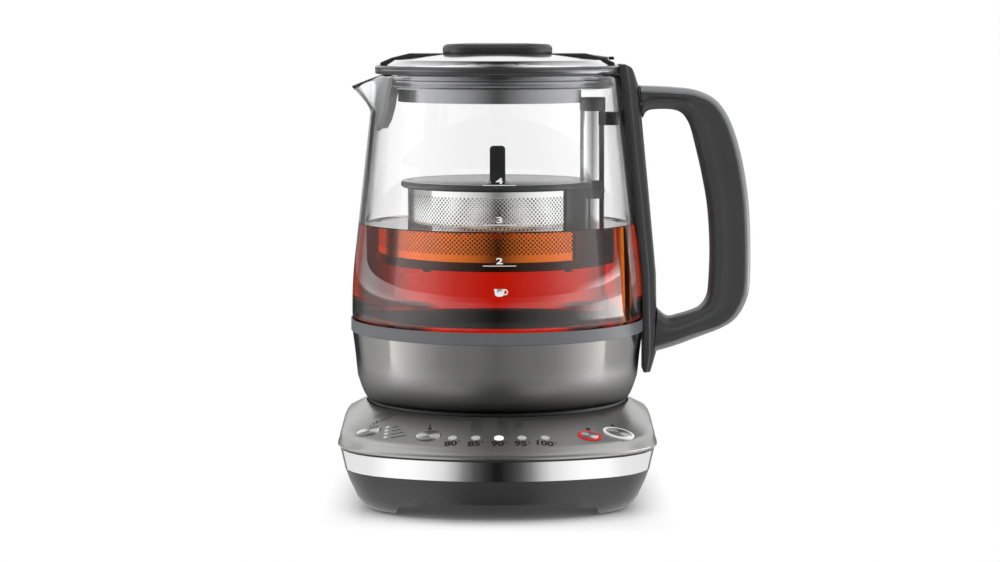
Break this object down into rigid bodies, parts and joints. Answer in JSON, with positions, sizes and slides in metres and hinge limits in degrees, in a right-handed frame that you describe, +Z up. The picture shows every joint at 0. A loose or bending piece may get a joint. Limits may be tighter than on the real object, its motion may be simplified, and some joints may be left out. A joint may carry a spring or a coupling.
{
  "type": "automatic tea maker",
  "caption": "Electric tea maker: glass jug with steel base, lift-off lid and a tea basket that rides up and down a post, on a power base with a control panel.",
  "frame": {"origin": "on the floor that the feet stand on, on the jug's upright axis", "axes": "+Z up, +X towards the handle, -Y towards the control panel at the front"},
  "size_m": [0.2047, 0.1656, 0.2265],
  "materials": {
    "dark_plastic": "satin moulded",
    "trim_plastic": "satin moulded",
    "black_plastic": "fine matte",
    "grey_plastic": "satin moulded",
    "foot_plastic": "satin moulded",
    "plug_plastic": "smooth",
    "rubber": "matte",
    "silicone": "smooth",
    "seal_silicone": "smooth",
    "smoked_metal": "smoked nickel, polished",
    "polished_metal": "mirror polished",
    "spun_metal": "spun face",
    "collar_plastic": "satin moulded",
    "steel": "satin",
    "copper": "bare",
    "magnet": "nickel plated",
    "board": "coated board",
    "white_light": "light guide",
    "red_light": "light guide",
    "glass": "clear"
  },
  "bodies": {
    "power_base": {"base_housing": "dark_plastic", "base_feet": "rubber", "base_screws": "steel", "base_top_cover": "smoked_metal", "base_band": "polished_metal", "jug_seat_ring": "rubber", "connector_socket": "black_plastic", "socket_contacts": "copper", "cable_gland": "black_plastic", "circuit_board": "board", "power_parts": "black_plastic", "switch_frame": "grey_plastic", "tact_switches": "black_plastic", "temperature_lights": "white_light", "strength_lights": "white_light", "stop_light_ring": "red_light", "start_light_ring": "white_light"},
    "strength_button": {"strength_button": "spun_metal"},
    "temperature_button": {"temperature_button": "spun_metal"},
    "stop_button": {"stop_button": "spun_metal"},
    "start_button": {"start_button": "spun_metal"},
    "jug_connector": {"jug_connector": "black_plastic"},
    "jug": {"jug_underside": "black_plastic", "jug_shell": "smoked_metal", "jug_collar": "collar_plastic", "glass_gasket": "silicone", "heater_plate": "steel", "heating_element": "steel", "temperature_sensor": "copper", "jug_glass": "glass", "spout_strainer": "plug_plastic", "handle_spine": "dark_plastic", "handle": "dark_plastic", "handle_cover": "trim_plastic", "handle_screws": "steel", "lift_post": "steel", "post_gasket": "silicone", "post_cap": "grey_plastic", "post_bracket": "black_plastic", "lift_motor": "steel"},
    "lift_screw": {"lift_screw": "steel"},
    "lift_magnet": {"lift_magnet": "magnet"},
    "basket_carrier": {"basket_carrier": "grey_plastic"},
    "basket": {"basket_rim": "grey_plastic", "basket_wall": "steel", "basket_channel": "grey_plastic", "basket_floor": "steel", "basket_foot_ring": "foot_plastic"},
    "basket_lid": {"basket_lid": "grey_plastic"},
    "lid": {"lid_rim": "dark_plastic", "lid_cap": "polished_metal", "lid_bar": "dark_plastic", "lid_grip": "dark_plastic", "lid_plug": "plug_plastic", "lid_seal": "seal_silicone", "lid_tab": "polished_metal", "lid_tab_tip": "black_plastic"}
  },
  "joints": [
    {"name": "strength_press", "type": "slide", "parent": "power_base", "child": "strength_button", "axis": [0.2515, 0.267, -0.9303], "range_m": [0, 0.0008], "stiffness_N_per_m": 900, "springref_m": -0.0008},
    {"name": "temperature_press", "type": "slide", "parent": "power_base", "child": "temperature_button", "axis": [0.1342, 0.4361, -0.8898], "range_m": [0, 0.0008], "stiffness_N_per_m": 900, "springref_m": -0.0008},
    {"name": "stop_press", "type": "slide", "parent": "power_base", "child": "stop_button", "axis": [-0.159, 0.3934, -0.9055], "range_m": [0, 0.0008], "stiffness_N_per_m": 900, "springref_m": -0.0008},
    {"name": "start_press", "type": "slide", "parent": "power_base", "child": "start_button", "axis": [-0.2222, 0.3018, -0.9271], "range_m": [0, 0.0008], "stiffness_N_per_m": 900, "springref_m": -0.0008},
    {"name": "jug_lift_off", "type": "slide", "parent": "power_base", "child": "jug_connector", "axis": [0, 0, 1], "range_m": [0, 0.08]},
    {"name": "jug_swivel", "type": "hinge", "parent": "jug_connector", "child": "jug", "pos_m": [0, 0, 0], "axis": [0, 0, 1], "continuous": true},
    {"name": "basket_lift", "type": "slide", "parent": "jug", "child": "basket_carrier", "axis": [0, 0, 1], "range_m": [-0.024, 0.02]},
    {"name": "lift_screw_turn", "type": "hinge", "parent": "jug", "child": "lift_screw", "pos_m": [0.0474, 0, 0], "axis": [0, 0, 1], "range_deg": [-725, 725]},
    {"name": "lift_magnet_slide", "type": "slide", "parent": "jug", "child": "lift_magnet", "axis": [0, 0, 1], "range_m": [-0.024, 0.02]},
    {"name": "basket_lift_off", "type": "slide", "parent": "basket_carrier", "child": "basket", "axis": [0, 0, 1], "range_m": [0, 0.01]},
    {"name": "basket_lid_lift", "type": "slide", "parent": "basket", "child": "basket_lid", "axis": [0, 0, 1], "range_m": [0, 0.008]},
    {"name": "lid_lift", "type": "slide", "parent": "jug", "child": "lid", "axis": [0, 0, 1], "range_m": [0, 0.045]}
  ],
  "couplings": [
    {"joint": "lift_magnet_slide", "follows": "basket_lift", "ratio": 1},
    {"joint": "lift_screw_turn", "follows": "basket_lift", "rad_per_m": 523.6}
  ]
}
